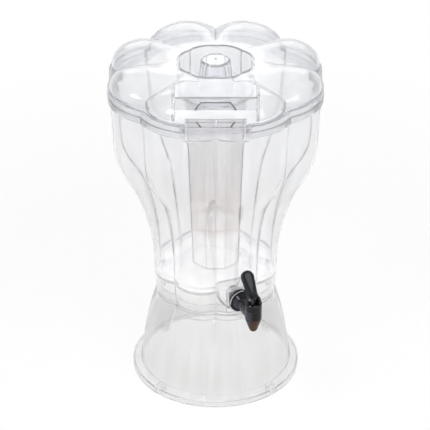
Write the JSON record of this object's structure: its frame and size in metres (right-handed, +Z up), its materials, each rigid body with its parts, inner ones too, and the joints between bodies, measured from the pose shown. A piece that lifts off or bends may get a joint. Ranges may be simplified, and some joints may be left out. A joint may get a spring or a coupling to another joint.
{
  "type": "beverage dispenser",
  "caption": "Clear fluted drink dispenser: bowl on a flared stand, petal-domed lid with a hanging ice core, and a sprung lever faucet low on the front.",
  "frame": {"origin": "on the table, under the centre line of the stand and bowl", "axes": "+Z up; -Y is the front with the finger notch; the faucet stands 22.5 degrees to the right of the front"},
  "size_m": [0.2858, 0.2846, 0.485],
  "materials": {
    "stand": "clear, polished",
    "stand_feet": "translucent, matt",
    "bowl": "clear, polished",
    "faucet_black": "gloss",
    "bonnet_black": "gloss",
    "outer_washer": "matt",
    "inner_washer": "matt",
    "nut_black": "satin",
    "spring_steel": "bright wire",
    "stem_plastic": "satin",
    "seat_rubber": "soft, translucent",
    "pin_steel": "ground",
    "lever_black": "gloss",
    "lid": "clear, polished",
    "ice_core": "clear, polished"
  },
  "bodies": {
    "base": {"stand": "stand", "stand_feet": "stand_feet"},
    "bowl": {"bowl": "bowl", "faucet_body": "faucet_black", "faucet_bonnet": "bonnet_black", "outer_washer": "outer_washer", "inner_washer": "inner_washer", "shank_nut": "nut_black", "closing_spring": "spring_steel"},
    "stem": {"valve_stem": "stem_plastic", "seat_cup": "seat_rubber", "lever_pin": "pin_steel"},
    "lever": {"faucet_lever": "lever_black"},
    "lid": {"lid": "lid"},
    "ice_core": {"ice_core": "ice_core"}
  },
  "joints": [
    {"name": "bowl_lift", "type": "slide", "parent": "base", "child": "bowl", "axis": [0, 0, 1], "range_m": [0, 0.06]},
    {"name": "stem_lift", "type": "slide", "parent": "bowl", "child": "stem", "axis": [0, 0, 1], "range_m": [0, 0.004], "deforming": ["closing_spring"]},
    {"name": "lever_swing", "type": "hinge", "parent": "stem", "child": "lever", "pos_m": [0.0509, -0.12288, 0.1838], "axis": [0.9239, 0.3827, 0], "range_deg": [0, 50], "stiffness_Nm_per_rad": 0.0126, "springref_deg": -37.24},
    {"name": "lid_lift", "type": "slide", "parent": "bowl", "child": "lid", "axis": [0, 0, 1], "range_m": [0, 0.33]},
    {"name": "core_twist", "type": "hinge", "parent": "lid", "child": "ice_core", "pos_m": [0, 0, 0.42], "axis": [0, 0, 1], "range_deg": [0, 60]}
  ],
  "couplings": [
    {"joint": "stem_lift", "follows": "lever_swing", "m_per_rad": 0.0045836}
  ]
}
